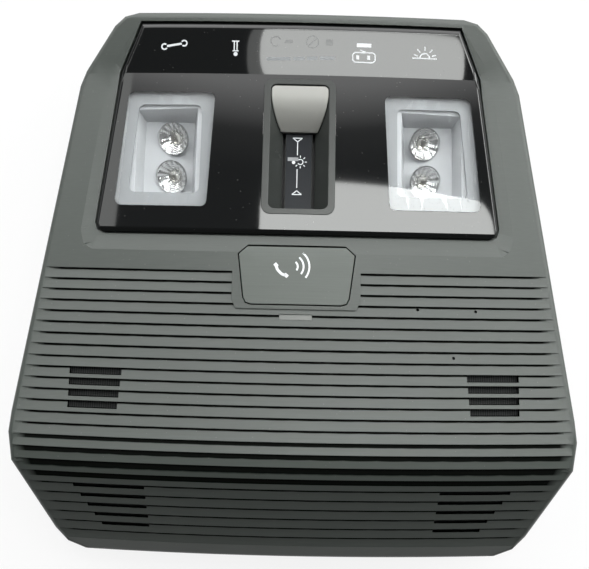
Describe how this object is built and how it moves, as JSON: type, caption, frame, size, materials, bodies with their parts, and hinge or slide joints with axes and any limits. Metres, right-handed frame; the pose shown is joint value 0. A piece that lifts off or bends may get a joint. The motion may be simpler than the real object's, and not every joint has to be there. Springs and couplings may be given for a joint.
{
  "type": "car dome light",
  "caption": "Overhead console lamp for a car roof: ribbed wedge housing, gloss panel with lamp windows, slide switch and press button.",
  "frame": {"origin": "centre of the box on the plane of the back tub", "axes": "+Z from the roof towards the visible face, +Y towards the icon strip, +X to the right when the strip is at the top"},
  "size_m": [0.194, 0.196, 0.0566],
  "materials": {
    "bezel": "fine matt grain",
    "gloss_panel": "polished black",
    "lens_left": "clear, polished",
    "lens_right": "clear, polished",
    "frost_left": "frosted, satin",
    "frost_right": "frosted, satin",
    "pocket_left": "satin grey",
    "pocket_right": "satin grey",
    "optic_1": "faceted, bright",
    "optic_2": "faceted, bright",
    "optic_3": "faceted, bright",
    "optic_4": "faceted, bright",
    "lamp_chips": "satin",
    "switch_bucket": "semi gloss",
    "symbol_plate": "smooth",
    "slider_knob": "satin silver paint",
    "slider_carriage": "smooth",
    "slider_contact": "bright",
    "switch_board": "solder mask",
    "sos_button": "fine matt grain",
    "button_dome": "matt",
    "button_switch": "satin",
    "light_pipe": "milky",
    "pipe_chip": "satin",
    "mesh_left": "woven",
    "mesh_right": "woven",
    "felt_left": "felt",
    "felt_right": "felt",
    "mic_boots": "matt",
    "mic_capsules": "satin",
    "main_board": "solder mask",
    "board_screws": "zinc",
    "processor": "matt",
    "capacitors": "sleeved",
    "power_coil": "matt",
    "connector": "matt",
    "connector_pins": "plated",
    "strip_board": "solder mask",
    "strip_guide": "milky",
    "rear_housing": "matt, spark eroded",
    "housing_screws": "zinc",
    "roof_clips": "spring steel",
    "rim_seal": "closed cell foam"
  },
  "bodies": {
    "console": {"bezel": "bezel", "gloss_panel": "gloss_panel", "lens_left": "lens_left", "lens_right": "lens_right", "frost_left": "frost_left", "frost_right": "frost_right", "pocket_left": "pocket_left", "pocket_right": "pocket_right", "optic_1": "optic_1", "optic_2": "optic_2", "optic_3": "optic_3", "optic_4": "optic_4", "lamp_chips": "lamp_chips", "switch_bucket": "switch_bucket", "symbol_plate": "symbol_plate", "switch_board": "switch_board", "button_dome": "button_dome", "button_switch": "button_switch", "light_pipe": "light_pipe", "pipe_chip": "pipe_chip", "mesh_left": "mesh_left", "mesh_right": "mesh_right", "felt_left": "felt_left", "felt_right": "felt_right", "mic_boots": "mic_boots", "mic_capsules": "mic_capsules", "main_board": "main_board", "board_screws": "board_screws", "processor": "processor", "capacitors": "capacitors", "power_coil": "power_coil", "connector": "connector", "connector_pins": "connector_pins", "strip_board": "strip_board", "strip_guide": "strip_guide", "rear_housing": "rear_housing", "housing_screws": "housing_screws", "roof_clips": "roof_clips", "rim_seal": "rim_seal"},
    "slider": {"slider_knob": "slider_knob", "slider_carriage": "slider_carriage", "slider_contact": "slider_contact"},
    "button": {"sos_button": "sos_button"}
  },
  "joints": [
    {"name": "knob_slide", "type": "slide", "parent": "console", "child": "slider", "axis": [0, -0.9763, 0.2164], "range_m": [0, 0.0285]},
    {"name": "button_press", "type": "slide", "parent": "console", "child": "button", "axis": [0, -0.2164, -0.9763], "range_m": [0, 0.0015], "stiffness_N_per_m": 800, "springref_m": -0.001, "deforming": ["button_dome"]}
  ]
}
